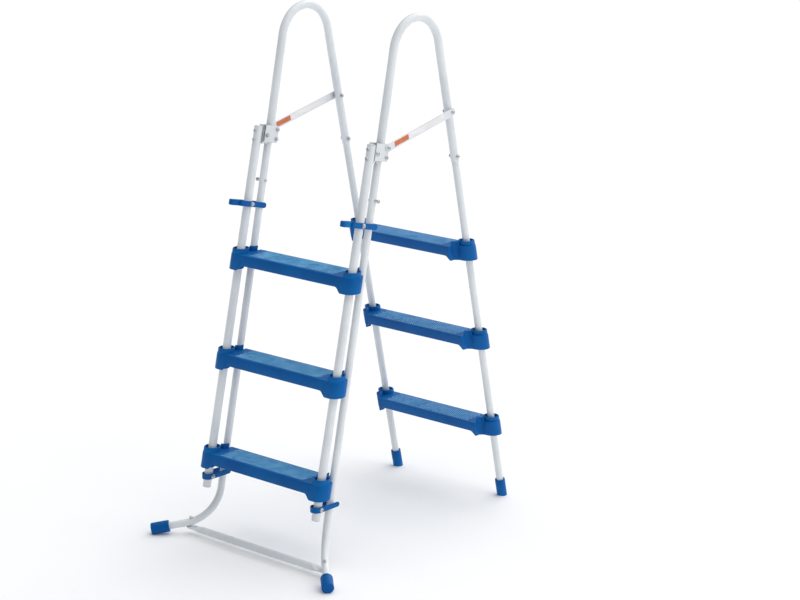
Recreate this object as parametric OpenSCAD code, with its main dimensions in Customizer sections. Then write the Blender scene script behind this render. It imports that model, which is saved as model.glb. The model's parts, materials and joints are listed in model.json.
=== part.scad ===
// A-frame pool ladder: a fixed frame that straddles the pool wall, and a
// section of three steps that hangs on it outside and is locked by four
// latches. +X is to the right for a person who faces the pool from outside,
// +Y goes over the wall into the water and +Z is up. The origin is on the
// ground, at the centre of the ladder's footprint. Millimetres throughout.

/* [Fixed frame] */
// Distance from the middle plane to each fixed leg and handrail
leg_x = 220; // [205:1:235]
// Lean of the fixed legs away from the vertical, degrees
leg_tilt = 12.35; // [12.2:0.05:12.5]
// Outer diameter of the fixed legs
leg_d = 22; // [21:0.5:22]
// Outer diameter of the handrails and of the step section's tubes
rail_d = 25; // [25:0.5:26]
// Distance over the wall between the two leg lines at ground level
foot_span = 850.2; // [800:5:900]
// Radius of the handrail's bend, to the middle of the tube
rail_bend_r = 101; // [90:1:115]
// Height of the outer end of each handrail, where the leg plugs in
rail_outer_z = 1178; // [1176:1:1182]
// Height of the inner end of each handrail
rail_inner_z = 1122; // [1110:1:1135]
// Wall thickness of every tube
tube_wall = 1.3; // [1.0:0.1:1.6]

/* [Outer feet] */
// Bend radius of the leg where it turns into the foot
foot_bend_r = 131; // [120:1:140]
// Angle of the foot outwards from straight ahead, degrees
foot_splay = 46.6; // [40:0.5:50]
// Slope of the foot down towards its cap, degrees
foot_droop = 10; // [9:0.5:11]
// Straight length of the foot beyond its bend, with its cap
foot_len = 109; // [100:1:120]
// Diameter of the foot cap
foot_cap_d = 36.5; // [34:0.5:40]
// Length of the foot cap
foot_cap_len = 56; // [50:1:60]

/* [Step section] */
// Distance from the middle plane to each tube of the step section
step_tube_x = 225; // [225:1:226]
// Lean of the step section's tubes, degrees
step_tilt = 13.1; // [13.0:0.05:13.2]
// Height of the lower end of the tubes
step_tube_low_z = 160; // [150:1:170]
// Height of the upper end of the tubes
step_tube_top_z = 1225; // [1215:1:1235]
// Height of the lowest tread
tread_low_z = 266; // [262:1:270]
// Height from tread to tread
tread_pitch = 295; // [290:1:300]
// Depth of a tread from front to back
tread_depth = 93; // [91:0.5:94]

/* [Latches] */
// Height of the upper latches
upper_latch_z = 1000; // [980:1:1010]
// Height of the lower latches
lower_latch_z = 192; // [190:1:195]
// Height of a latch's cheeks
latch_h = 17; // [15:0.5:18]

/* [Hidden] */
$fn = 48;

paint_white = [0.93, 0.94, 0.95];
plastic_blue = [0.02, 0.29, 0.56];
plug_grey = [0.86, 0.87, 0.87];
zinc = [0.72, 0.73, 0.75];
label_orange = [0.80, 0.33, 0.12];

leg_r = leg_d / 2;
rail_r = rail_d / 2;
cap_r = foot_cap_d / 2;
// Gap left between neighbours that touch in one body
snug = 0.1;
// How much thinner a tube is along its bends
bend_slim = 0.05;
// Horizontal distance from the step section's tube line to the leg line at ground level
leg_setback = 61.9;

// Direction of a right foot: out, back and up
foot_out = sin(foot_splay) * cos(foot_droop);
foot_back = -cos(foot_splay) * cos(foot_droop);
foot_up = -sin(foot_droop);
// The same direction seen along the leg's own axes
foot_v = foot_back * cos(leg_tilt) - foot_up * sin(leg_tilt);
foot_w = foot_back * sin(leg_tilt) + foot_up * cos(leg_tilt);
bend_angle = acos(-foot_w);
bend_turn = atan2(foot_v, foot_out);
// Distance from the corner of the two axes to either end of the bend
bend_reach = foot_bend_r * tan(bend_angle / 2);
foot_reach = bend_reach + foot_len;
// Depth of the flat that each outer foot cap stands on
cap_flat = 2.5;
corner_z = cap_r * cos(foot_droop) - cap_flat + foot_reach * sin(foot_droop);
leg_low_z = corner_z + bend_reach * cos(leg_tilt);

// The inner legs stand on round caps cut level with the pool floor
inner_cap_r = 16;
inner_cap_len = 58;
inner_y0 = leg_setback + foot_span;
// How far the legs reach up inside the handrails
plug_in = 60;
// How far the top plugs reach down, clear of the hooks' upper bolts
plug_top_depth = 9;

// Front and back of the footprint, so that the origin lands in its centre
front_y = leg_setback + corner_z * tan(leg_tilt) + foot_reach * foot_back
    - cap_r * sqrt(1 - foot_back * foot_back);
back_y = inner_y0 + inner_cap_r / cos(leg_tilt);
origin_y = (front_y + back_y) / 2;

// Handrail arc
rail_mid_y = (leg_setback + inner_y0) / 2;
rail_arc_z = (foot_span / 2 - rail_bend_r / cos(leg_tilt)) / tan(leg_tilt);

// Steps
tread_front = -25.3;
tread_back = tread_front + tread_depth * cos(step_tilt);
step_wall = 3;
deck_wall = 3.5;
collar_h = 14;
collar_r = 25;
collar_cup_r = 21;
end_drop = 47;
apron_drop = 31;
// Clear space for the fixed leg at each back corner of a tread
notch_in = 18;
notch_v = 34;
notch_r = 14;
boss_r = 17;
upper_tread_z = tread_low_z + 2 * tread_pitch;
middle_tread_z = tread_low_z + tread_pitch;

// Fasteners
bolt_r = 3;
bolt_hole_r = 3.05;
pivot_hole_r = 3.08;
head_r = 6;
head_h = 3.4;
nut_r = 5.8;
nut_h = 4.6;
washer_r = 7;
washer_h = 1.2;
screw_r = 2.4;

// Hook brackets and hooks
sheet = 2;
bracket_low = 1174;
bracket_high = 1224;
bracket_half = rail_r + 0.2;
// The brackets reach this far behind the handrail's axis, where two bolts clamp them
bracket_back = 25;
clamp_v = 18;
clamp_low_z = 1186;
clamp_high_z = 1214;
hook_bolt_z = 1199;
hook_low = 1178;
hook_high = 1219;
hook_in_x = 211.5;
hook_out_x = 232;
// Heights of the two bolts that hold each hook to its tube
hook_fix_z = [1186, 1212];

// Spreader bars
strap_w = 23;
strap_t = 3;
strap_x = leg_x + bracket_half + sheet + snug;
strap_outer_z = clamp_high_z - clamp_v * sin(leg_tilt);
strap_inner_z = 1276;
strap_y0 = leg_setback + clamp_high_z * tan(leg_tilt) + clamp_v * cos(leg_tilt);
strap_y1 = inner_y0 - strap_inner_z * tan(leg_tilt);
strap_len = norm([strap_y1 - strap_y0, strap_inner_z - strap_outer_z]);
strap_rise = atan2(strap_inner_z - strap_outer_z, strap_y1 - strap_y0);
// Labels on both faces of a strap
label_from = 0.09;
label_to = 0.86;
label_low = -6.5;
label_high = 9;
label_t = 0.5;

joint_bolt_z = 1137;
stop_bolt_z = 1062;
// How far the stop bolts stand out of the legs, over the latches' outer cheeks
stop_reach = 15;

// Base bar
bar_r = 11;
bar_bolt_reach = 80;
bar_flat_t = 4;
bar_flat_r = 15;
bar_taper = 34;
bar_x = leg_x + bar_bolt_reach * foot_out;
bar_y = leg_setback + corner_z * tan(leg_tilt) + bar_bolt_reach * foot_back;
bar_bolt_z = corner_z + bar_bolt_reach * foot_up;
// How far the bar's flat ends lie under the bolts' places, clear of the sloping feet
bar_drop = leg_r / cos(foot_droop) + bar_flat_r * tan(foot_droop) + snug;
bar_z = bar_bolt_z - bar_drop - bar_flat_t / 2;

// Latches: inner and outer cheek faces clear the fixed leg and the step tube
latch_in_x = leg_x - leg_r - 0.4;
latch_out_x = step_tube_x + rail_r + 0.4;
latch_t = 3;
latch_mid_x = (latch_in_x + latch_out_x) / 2;
latch_half = (latch_out_x - latch_in_x) / 2;
upper_fork = 53.5;
upper_web = 42;
upper_nose_r = 3;
upper_tab = 78;
lower_web = 17.5;
lower_tail = 70;
lower_tail_r = 7.5;
// The lower latches stand nearly level, so they lean back from the tube's square
lower_lean = 12;

// Moves the design, laid out from the step tubes' ground line, to the origin
module placed() {
    translate([0, -origin_y, 0]) children();
}

// Copies for the left and the right side
module on_side(side) {
    if (side < 0) mirror([1, 0, 0]) children();
    else children();
}

// Stands children along the step section's tube, at a height
module on_step_tube(z) {
    translate([step_tube_x, z * tan(step_tilt), z]) rotate([-step_tilt, 0, 0]) children();
}

// Stands children along the outer fixed leg, at a height
module on_outer_leg(z) {
    translate([leg_x, leg_setback + z * tan(leg_tilt), z]) rotate([-leg_tilt, 0, 0]) children();
}

// Stands children along the inner fixed leg, at a height
module on_inner_leg(z) {
    translate([leg_x, inner_y0 - z * tan(leg_tilt), z]) rotate([leg_tilt, 0, 0]) children();
}

// A round bar along the local Z axis from a to b
module bar(r, a, b) {
    translate([0, 0, a]) cylinder(r = r, h = b - a);
}

// A round bar along X from a to b
module cross_bar(r, a, b) {
    translate([a, 0, 0]) rotate([0, 90, 0]) cylinder(r = r, h = b - a);
}

// A bolt along X: its head at a, its nut at b, both with washers
module bolt_x(a, b) {
    cross_bar(bolt_r, a - washer_h, b + nut_h + 1.5);
    cross_bar(washer_r, a - washer_h, a);
    cross_bar(head_r, a - washer_h - head_h, a - washer_h);
    cross_bar(washer_r, b, b + washer_h);
    translate([b + washer_h, 0, 0]) rotate([0, 90, 0]) cylinder(r = nut_r, h = nut_h, $fn = 6);
}

// Length along a leaning tube between two heights
function along(z0, z1, tilt) = (z1 - z0) / cos(tilt);

// ---- fixed frame ----

// The handrail's solid outline: two leaning straights joined by a bend,
// where the tube has drawn a hair thinner
module rail_form(r, extra) {
    on_outer_leg(rail_outer_z) bar(r, -extra, along(rail_outer_z, rail_arc_z, leg_tilt)
        + rail_bend_r * tan(leg_tilt));
    on_inner_leg(rail_inner_z) bar(r, -extra, along(rail_inner_z, rail_arc_z, leg_tilt)
        + rail_bend_r * tan(leg_tilt));
    translate([leg_x, rail_mid_y, rail_arc_z]) rotate([90, 0, 90]) rotate([0, 0, leg_tilt])
        rotate_extrude(angle = 180 - 2 * leg_tilt) translate([rail_bend_r, 0])
            circle(r = r - bend_slim);
}

module handrail(side) {
    color(paint_white) placed() on_side(side) difference() {
        rail_form(rail_r, 0);
        rail_form(rail_r - tube_wall, 5);
        for (z = [joint_bolt_z, strap_inner_z]) on_inner_leg(z) cross_bar(bolt_hole_r, -20, 20);
    }
}

// The outer leg's solid outline: straight leg, bend and foot
module leg_form(r, extra) {
    on_outer_leg(leg_low_z) bar(r, 0, along(leg_low_z, rail_outer_z + plug_in, leg_tilt) + extra);
    on_outer_leg(leg_low_z) rotate([0, 0, bend_turn]) translate([foot_bend_r, 0, 0]) rotate([90, 0, 0])
        rotate([0, 0, 180]) rotate_extrude(angle = bend_angle) translate([foot_bend_r, 0])
            circle(r = r - bend_slim);
    on_foot() bar(r, 0, foot_len - 4 + extra);
}

// Local Z runs along the right foot from the end of its bend
module on_foot() {
    on_outer_leg(leg_low_z) rotate([0, 0, bend_turn]) translate([foot_bend_r, 0, 0])
        rotate([0, -bend_angle, 0]) translate([-foot_bend_r, 0, 0]) rotate([180, 0, 0]) children();
}

// Local Z runs up through the foot and the base bar's flat end
module on_bar_bolt() {
    translate([bar_x, bar_y, bar_bolt_z]) children();
}

module outer_leg(side) {
    color(paint_white) placed() on_side(side) difference() {
        leg_form(leg_r, 0);
        leg_form(leg_r - tube_wall, 5);
        on_outer_leg(stop_bolt_z) cross_bar(bolt_hole_r, -20, 20);
        on_bar_bolt() bar(bolt_hole_r, -20, 20);
    }
}

module inner_leg(side) {
    color(paint_white) placed() on_side(side) difference() {
        on_inner_leg(0) bar(leg_r, 8, along(0, rail_inner_z + plug_in, leg_tilt));
        on_inner_leg(0) bar(leg_r - tube_wall, 3, along(0, rail_inner_z + plug_in, leg_tilt) + 5);
        on_inner_leg(joint_bolt_z) cross_bar(bolt_hole_r, -20, 20);
        for (z = [tread_low_z, middle_tread_z, upper_tread_z])
            on_inner_leg(z) translate([0, 0, -end_drop / 2]) cross_bar(screw_r + snug, -14, 0);
    }
}

module outer_foot_cap(side) {
    color(plastic_blue) placed() intersection() {
        on_side(side) on_foot() difference() {
            bar(cap_r, foot_len - foot_cap_len, foot_len);
            bar(leg_r + snug, foot_len - foot_cap_len - 1, foot_len - 4);
        }
        translate([-600, -600, 0]) cube([1200, 1200, 200]);
    }
}

module inner_foot_cap(side) {
    color(plastic_blue) placed() intersection() {
        on_side(side) on_inner_leg(0) difference() {
            bar(inner_cap_r, -10, inner_cap_len);
            bar(leg_r + snug, 8 - snug, inner_cap_len + 1);
        }
        translate([-600, 400, 0]) cube([1200, 1200, 200]);
    }
}

// One flattened end of the base bar, with its bolt hole
module bar_end() {
    translate([bar_x, bar_y, bar_z]) difference() {
        union() {
            translate([0, 0, -bar_flat_t / 2]) cylinder(r = bar_flat_r, h = bar_flat_t);
            translate([-18, -bar_flat_r, -bar_flat_t / 2]) cube([18, 2 * bar_flat_r, bar_flat_t]);
        }
        bar(bolt_hole_r, -5, 5);
    }
    hull() {
        translate([bar_x - 18.5, bar_y - bar_flat_r, bar_z - bar_flat_t / 2])
            cube([0.5, 2 * bar_flat_r, bar_flat_t]);
        translate([bar_x - 18 - bar_taper, bar_y, bar_z]) rotate([0, 90, 0])
            cylinder(r = bar_r, h = 0.5, $fn = 32);
    }
}

module base_bar() {
    bar_half = bar_x - 18 - bar_taper + 0.3;
    color(paint_white) placed() {
        translate([0, bar_y, bar_z]) difference() {
            cross_bar(bar_r, -bar_half, bar_half);
            cross_bar(bar_r - tube_wall, -bar_half - 1, bar_half + 1);
        }
        bar_end();
        mirror([1, 0, 0]) bar_end();
    }
}

// A channel of sheet round the handrail's lower end, clamped behind it by two bolts
module hook_bracket(side) {
    zm = (bracket_low + bracket_high) / 2;
    half = along(zm, bracket_high, leg_tilt);
    reach = leg_setback * cos(leg_tilt) - zm * sin(step_tilt - leg_tilt) / cos(step_tilt) - rail_r - 1;
    color(paint_white) placed() on_side(side) difference() {
        on_outer_leg(zm) difference() {
            translate([-bracket_half - sheet, -reach, -half])
                cube([2 * (bracket_half + sheet), reach + bracket_back + sheet, 2 * half]);
            translate([-bracket_half, -reach - 1, -half - 1])
                cube([2 * bracket_half, reach + 1 + bracket_back, 2 * half + 2]);
        }
        for (z = [clamp_low_z, clamp_high_z]) on_clamp(z) cross_bar(bolt_hole_r, -20, 20);
        hook_pin_place() cross_bar(bolt_hole_r, -40, 40);
    }
}

// Stands children behind the handrail, where a bolt clamps the bracket
module on_clamp(z) {
    on_outer_leg(z) translate([0, clamp_v, 0]) children();
}

// Middle of the gap between the step tube and the handrail, at the hook's pin
module hook_pin_place() {
    gap_y = (hook_bolt_z * tan(step_tilt) + leg_setback + hook_bolt_z * tan(leg_tilt)) / 2;
    translate([leg_x, gap_y, hook_bolt_z]) children();
}

// Strap between the two sides of a handrail, laid out along local Y
module on_strap() {
    translate([strap_x, strap_y0, strap_outer_z]) rotate([strap_rise, 0, 0]) children();
}

module spreader_bar(side) {
    color(paint_white) placed() on_side(side) on_strap() rotate([90, 0, 90]) linear_extrude(strap_t)
        difference() {
            union() {
                translate([0, -strap_w / 2]) square([strap_len, strap_w]);
                circle(r = strap_w / 2);
                translate([strap_len, 0]) circle(r = strap_w / 2);
            }
            circle(r = bolt_hole_r);
            translate([strap_len, 0]) circle(r = bolt_hole_r);
        }
}

// A plain coloured label on each face of the strap
module spreader_label(side) {
    color(label_orange) placed() on_side(side) on_strap()
        for (x = [-label_t, strap_t]) translate([x, label_from * strap_len, label_low])
            cube([label_t, (label_to - label_from) * strap_len, label_high - label_low]);
}

module spreader_spacers() {
    color(zinc) placed() for (side = [-1, 1]) on_side(side) on_inner_leg(strap_inner_z) difference() {
        cross_bar(8, rail_r, strap_x - leg_x - snug / 2);
        cross_bar(bolt_hole_r, rail_r - 1, strap_x - leg_x + 1);
    }
}

// ---- steps ----

// Outline of a step across its tubes, inset by i; the back is +Y
module step_plan(half, i) {
    end_r = (notch_v - tread_front) / 2;
    deck = half - notch_in;
    difference() {
        union() {
            translate([-deck + i, tread_front + i])
                square([2 * (deck - i), tread_back - tread_front - 2 * i]);
            translate([-half, tread_front + i]) square([2 * half, 2 * (end_r - i)]);
            for (s = [-1, 1]) {
                translate([s * half, tread_front + end_r]) circle(r = end_r - i);
                translate([s * (deck + notch_r / 2 - 0.5), notch_v + notch_r / 2 - i - 0.5])
                    square([notch_r + 1, notch_r + 1], center = true);
            }
        }
        for (s = [-1, 1]) translate([s * (deck + notch_r), notch_v + notch_r]) circle(r = notch_r + i);
    }
}

// Everything on one side of a level plane that crosses the leaning tube axis at height h
module level_below(h, tilt) {
    rotate([tilt, 0, 0]) translate([-300, -150, h - 200]) cube([600, 300, 200]);
}

module level_above(h, tilt) {
    rotate([tilt, 0, 0]) translate([-300, -150, h]) cube([600, 300, 200]);
}

// The raised collar cup around each tube, and the lip around each leg notch
module step_collars(half) {
    for (s = [-1, 1]) {
        translate([s * half, 0, 0]) bar(collar_r, -8, 40);
        intersection() {
            translate([s * (half - notch_in + notch_r), notch_v + notch_r, 0])
                bar(notch_r + step_wall, 0, 40);
            translate([s * (half - notch_in + notch_r / 2 - step_wall / 2), notch_v + notch_r / 2, 20])
                cube([notch_r + step_wall, notch_r + 2 * step_wall, 60], center = true);
        }
    }
}

// Arched opening along the middle of the front and back aprons
module apron_arch(half, tilt) {
    arch = end_drop - apron_drop;
    run = half - 35;
    rotate([tilt, 0, 0]) translate([0, 150, 0]) rotate([90, 0, 0]) linear_extrude(300) {
        translate([-run, -90]) square([2 * run, 90 - apron_drop]);
        translate([-run - arch, -90]) square([2 * (run + arch), 90 - end_drop]);
        for (s = [-1, 1]) translate([s * run, -end_drop]) circle(r = arch);
    }
}

// A moulded step for tubes of radius tube_r that lean by tilt, half apart from the middle
module step(half, tube_r, tilt) {
    difference() {
        intersection() {
            union() {
                difference() {
                    intersection() {
                        translate([0, 0, -80]) linear_extrude(120) step_plan(half, 0);
                        level_below(0, tilt);
                    }
                    difference() {
                        intersection() {
                            translate([0, 0, -90]) linear_extrude(120) step_plan(half, step_wall);
                            level_below(-deck_wall, tilt);
                        }
                        for (s = [-1, 1]) translate([s * half, 0, 0]) bar(boss_r, -90, 40);
                        step_ribs(half);
                    }
                }
                step_collars(half);
            }
            level_above(-end_drop, tilt);
            level_below(collar_h, tilt);
        }
        apron_arch(half, tilt);
        for (s = [-1, 1]) translate([s * half, 0, 0]) {
            bar(tube_r + snug, -90, 60);
            intersection() {
                bar(collar_cup_r, -20, 40);
                level_above(4, tilt);
            }
            translate([0, 0, -end_drop / 2]) cross_bar(screw_r + snug, min(0, -s * 24), max(0, -s * 24));
        }
        for (s = [-1, 1]) translate([s * (half - notch_in + notch_r), notch_v + notch_r, 0])
            bar(notch_r, -5, 40);
    }
}

// Stiffening ribs under the deck
module step_ribs(half) {
    for (x = [-150 : 50 : 150]) translate([x - 1, tread_front, -80])
        cube([2, tread_depth, 120]);
    translate([-half + 30, 18, -80]) cube([2 * half - 60, 2, 120]);
}

module outer_step(tread_z) {
    color(plastic_blue) placed() translate([-step_tube_x, 0, 0]) on_step_tube(tread_z)
        step(step_tube_x, rail_r, step_tilt);
}

module inner_step(tread_z) {
    color(plastic_blue) placed() translate([-leg_x, 0, 0])
        translate([leg_x, inner_y0 - tread_z * tan(leg_tilt), tread_z]) mirror([0, 1, 0])
            rotate([-leg_tilt, 0, 0]) step(leg_x, leg_r, leg_tilt);
}

// ---- step section ----

module step_tube(side) {
    color(paint_white) placed() on_side(side) difference() {
        on_step_tube(step_tube_low_z) difference() {
            bar(rail_r, 0, along(step_tube_low_z, step_tube_top_z, step_tilt));
            bar(rail_r - tube_wall, -5, along(step_tube_low_z, step_tube_top_z, step_tilt) + 5);
        }
        for (z = [upper_latch_z, lower_latch_z]) on_step_tube(z) cross_bar(bolt_hole_r, -20, 20);
        for (z = hook_fix_z) on_step_tube(z) rotate([0, 0, 90]) cross_bar(bolt_hole_r, -20, 20);
        for (z = [tread_low_z, middle_tread_z, upper_tread_z])
            on_step_tube(z) translate([0, 0, -end_drop / 2]) cross_bar(screw_r + snug, -14, 0);
    }
}

// A domed plug in the tube's open end
module tube_top_plug(side) {
    color(plug_grey) placed() on_side(side) on_step_tube(step_tube_top_z) {
        bar(rail_r - tube_wall - snug, -plug_top_depth, 0);
        bar(rail_r, 0, 1.5);
        translate([0, 0, 1.5]) cylinder(r1 = rail_r - 1, r2 = rail_r - 6, h = 2.5);
    }
}

module tube_bottom_plug(side) {
    color(plug_grey) placed() on_side(side) on_step_tube(step_tube_low_z) {
        bar(rail_r - tube_wall - snug, 0, 20);
        bar(rail_r, -4, 0);
    }
}

// A small channel on the back of the tube whose slots drop over the bracket's pin
module hook(side) {
    back = rail_r + snug;
    reach = 29.5;
    pin_slot = bolt_r + 0.35;
    mid = (hook_low + hook_high) / 2;
    half = along(mid, hook_high, step_tilt);
    color(zinc) placed() on_side(side) difference() {
        on_step_tube(mid) difference() {
            translate([hook_in_x - step_tube_x, back, -half])
                cube([hook_out_x - hook_in_x, reach - back, 2 * half]);
            translate([hook_in_x - step_tube_x + sheet, back + sheet, -half - 1])
                cube([hook_out_x - hook_in_x - 2 * sheet, reach, 2 * half + 2]);
        }
        hook_pin_place() rotate([-step_tilt, 0, 0]) {
            cross_bar(pin_slot, -30, 30);
            translate([-30, -pin_slot, -60]) cube([60, 2 * pin_slot, 60]);
        }
        for (z = hook_fix_z) on_step_tube(z) rotate([0, 0, 90]) cross_bar(bolt_hole_r, 5, 20);
    }
}

// Side shape of a latch: level cheeks or a tapered tail, round at the back
module latch_side(front, back, back_r) {
    translate([-40, -front, -latch_h / 2]) cube([80, front, latch_h]);
    translate([0, back, 0]) cross_bar(back_r, -40, 40);
    translate([-40, 0, 0]) rotate([90, 0, 90]) linear_extrude(80)
        polygon([[-1, latch_h / 2], [back, back_r], [back, -back_r], [-1, -latch_h / 2]]);
}

// Plan of a strap bent round the front of the tube: straight sides, corners of radius nose_r
module latch_plan(half, web, nose_r) {
    for (s = nose_r < half ? [-1, 1] : [0])
        translate([s * (half - nose_r), nose_r - web]) circle(r = nose_r);
    if (nose_r < half) translate([nose_r - half, -web]) square([2 * (half - nose_r), nose_r]);
    translate([-half, nose_r - web]) square([2 * half, 200]);
}

// A latch about its pivot, with local Y running back to the fixed leg
module latch(web, nose_r, back, back_r, tab) {
    difference() {
        intersection() {
            translate([latch_mid_x - step_tube_x, 0, -30]) linear_extrude(60) difference() {
                union() {
                    latch_plan(latch_half + latch_t, web + latch_t, nose_r + latch_t);
                    if (tab > 0) latch_tab(web, tab);
                }
                latch_plan(latch_half, web, nose_r);
            }
            latch_side(max(web + latch_t, tab) + 1, back, back_r);
        }
        cross_bar(pivot_hole_r, -40, 40);
    }
}

// The finger tab that the upper latches carry in front
module latch_tab(web, tab) {
    tab_r = 9;
    translate([-tab_r, -tab + tab_r]) square([2 * tab_r, tab - tab_r - web]);
    translate([0, -tab + tab_r]) circle(r = tab_r);
}

module upper_latch(side) {
    color(plastic_blue) placed() on_side(side) on_step_tube(upper_latch_z)
        latch(upper_web, upper_nose_r, upper_fork, latch_h / 2, upper_tab);
}

module lower_latch(side) {
    color(plastic_blue) placed() on_side(side) on_step_tube(lower_latch_z)
        rotate([lower_lean, 0, 0]) latch(lower_web, latch_half, lower_tail, lower_tail_r, 0);
}

// ---- fasteners ----

module bracket_bolts() {
    half = bracket_half + sheet + snug / 2;
    color(zinc) placed() for (side = [-1, 1]) on_side(side) {
        on_clamp(clamp_low_z) mirror([1, 0, 0]) bolt_x(-half, half);
        hook_pin_place() mirror([1, 0, 0]) bolt_x(-half, half);
    }
}

module spreader_bolts() {
    outer = strap_x - leg_x + strap_t + snug / 2;
    color(zinc) placed() for (side = [-1, 1]) on_side(side) {
        on_clamp(clamp_high_z) mirror([1, 0, 0]) bolt_x(-outer, bracket_half + sheet + snug);
        on_inner_leg(strap_inner_z) mirror([1, 0, 0]) bolt_x(-outer, rail_r + snug);
    }
}

module base_bar_bolts() {
    // The foot slopes and bends here, so the head stands this far off
    head_gap = 3.6;
    nut_low = -bar_drop - bar_flat_t - snug - nut_h;
    color(zinc) placed() for (side = [-1, 1]) on_side(side) on_bar_bolt() {
        bar(bolt_r, nut_low - 1.5, leg_r + head_gap);
        bar(head_r, leg_r + head_gap, leg_r + head_gap + head_h);
        translate([0, 0, nut_low]) cylinder(r = nut_r, h = nut_h, $fn = 6);
    }
}

module leg_joint_bolts() {
    color(zinc) placed() for (side = [-1, 1]) on_side(side) on_inner_leg(joint_bolt_z)
        mirror([1, 0, 0]) bolt_x(-rail_r - snug, rail_r + snug);
}

// Bolts that stop the upper latches from riding up: each stands out on the outer side, on a spacer
module leg_stop_bolts() {
    color(zinc) placed() for (side = [-1, 1]) on_side(side) on_outer_leg(stop_bolt_z) {
        cross_bar(bolt_r, -leg_r - 2, leg_r + stop_reach);
        cross_bar(head_r - 1.5, leg_r + snug, leg_r + stop_reach - 4);
        cross_bar(head_r, leg_r + stop_reach - 4, leg_r + stop_reach);
        cross_bar(head_r - 1, -leg_r - 3, -leg_r - snug);
    }
}

// A screw from the inboard face of a step's boss into the tube, along local X
module step_screw() {
    cross_bar(screw_r, -boss_r - 1, -6);
    cross_bar(4.5, -boss_r - 3.5, -boss_r - snug);
}

module outer_step_screws() {
    color(zinc) placed() for (side = [-1, 1], z = [tread_low_z, middle_tread_z, upper_tread_z])
        on_side(side) on_step_tube(z) translate([0, 0, -end_drop / 2]) step_screw();
}

module inner_step_screws() {
    color(zinc) placed() for (side = [-1, 1], z = [tread_low_z, middle_tread_z, upper_tread_z])
        on_side(side) on_inner_leg(z) translate([0, 0, -end_drop / 2]) step_screw();
}

module hook_bolts() {
    color(zinc) placed() for (side = [-1, 1], z = hook_fix_z) on_side(side) on_step_tube(z)
        rotate([0, 0, 90]) {
            cross_bar(bolt_r, -rail_r - 1, rail_r + sheet + 4);
            cross_bar(head_r, -rail_r - snug - head_h, -rail_r - snug);
            cross_bar(4.8, rail_r + sheet + 2 * snug, rail_r + sheet + 4);
        }
}

module latch_pivot_bolts() {
    inner = latch_in_x - latch_t - 0.3 - step_tube_x;
    outer = latch_out_x + latch_t + 0.3 - step_tube_x;
    color(zinc) placed() for (side = [-1, 1], z = [upper_latch_z, lower_latch_z])
        on_side(side) on_step_tube(z) mirror([1, 0, 0]) bolt_x(-outer, -inner);
}

handrail(-1);  // handrail_left
handrail(1);  // handrail_right
outer_leg(-1);  // outer_leg_left
outer_leg(1);  // outer_leg_right
inner_leg(-1);  // inner_leg_left
inner_leg(1);  // inner_leg_right
base_bar();
outer_foot_cap(-1);  // outer_foot_cap_left
outer_foot_cap(1);  // outer_foot_cap_right
inner_foot_cap(-1);  // inner_foot_cap_left
inner_foot_cap(1);  // inner_foot_cap_right
hook_bracket(-1);  // hook_bracket_left
hook_bracket(1);  // hook_bracket_right
spreader_bar(-1);  // spreader_bar_left
spreader_bar(1);  // spreader_bar_right
spreader_label(-1);  // spreader_label_left
spreader_label(1);  // spreader_label_right
spreader_spacers();
inner_step(upper_tread_z);  // inner_step_upper
inner_step(middle_tread_z);  // inner_step_middle
inner_step(tread_low_z);  // inner_step_lower
bracket_bolts();
spreader_bolts();
base_bar_bolts();
leg_joint_bolts();
leg_stop_bolts();
inner_step_screws();
step_tube(-1);  // step_tube_left
step_tube(1);  // step_tube_right
tube_top_plug(-1);  // tube_top_plug_left
tube_top_plug(1);  // tube_top_plug_right
tube_bottom_plug(-1);  // tube_bottom_plug_left
tube_bottom_plug(1);  // tube_bottom_plug_right
outer_step(upper_tread_z);  // outer_step_upper
outer_step(middle_tread_z);  // outer_step_middle
outer_step(tread_low_z);  // outer_step_lower
hook(-1);  // hook_left
hook(1);  // hook_right
hook_bolts();
outer_step_screws();
latch_pivot_bolts();
upper_latch(-1);  // upper_latch_left
upper_latch(1);  // upper_latch_right
lower_latch(-1);  // lower_latch_left
lower_latch(1);  // lower_latch_right
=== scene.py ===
import json
import math

import bmesh
import bpy
from mathutils import Matrix, Vector

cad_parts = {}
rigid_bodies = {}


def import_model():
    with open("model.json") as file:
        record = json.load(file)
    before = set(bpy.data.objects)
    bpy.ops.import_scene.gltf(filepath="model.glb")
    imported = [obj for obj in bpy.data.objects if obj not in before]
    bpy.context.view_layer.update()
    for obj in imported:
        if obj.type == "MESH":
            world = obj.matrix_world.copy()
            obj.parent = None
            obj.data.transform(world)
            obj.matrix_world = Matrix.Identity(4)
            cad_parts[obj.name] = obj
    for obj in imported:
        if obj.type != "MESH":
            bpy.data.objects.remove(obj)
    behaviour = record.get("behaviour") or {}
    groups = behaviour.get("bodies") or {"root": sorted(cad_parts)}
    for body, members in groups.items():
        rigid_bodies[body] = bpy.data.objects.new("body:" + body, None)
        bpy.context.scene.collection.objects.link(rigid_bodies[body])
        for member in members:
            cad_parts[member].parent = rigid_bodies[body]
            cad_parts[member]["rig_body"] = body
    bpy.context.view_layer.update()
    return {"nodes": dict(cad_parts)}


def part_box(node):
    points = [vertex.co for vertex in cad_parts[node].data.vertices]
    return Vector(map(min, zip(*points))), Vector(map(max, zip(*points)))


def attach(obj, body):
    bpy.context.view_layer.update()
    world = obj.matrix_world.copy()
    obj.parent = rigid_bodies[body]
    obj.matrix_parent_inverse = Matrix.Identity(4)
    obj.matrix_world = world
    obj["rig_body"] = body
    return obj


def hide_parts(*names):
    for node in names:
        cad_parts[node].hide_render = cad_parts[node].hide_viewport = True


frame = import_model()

# Sizes are in millimetres in the design's own axes, as in the CAD source:
# X = 0 is the middle plane and Y = 0 is where the step tubes' axes meet the
# ground. to_row() carries them into the row frame, in metres.
LEG_X, LEG_TILT, LEG_R = 220, math.radians(12.35), 11
RAIL_R, RAIL_BEND_R, TUBE_WALL = 12.5, 101, 1.3
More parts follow.
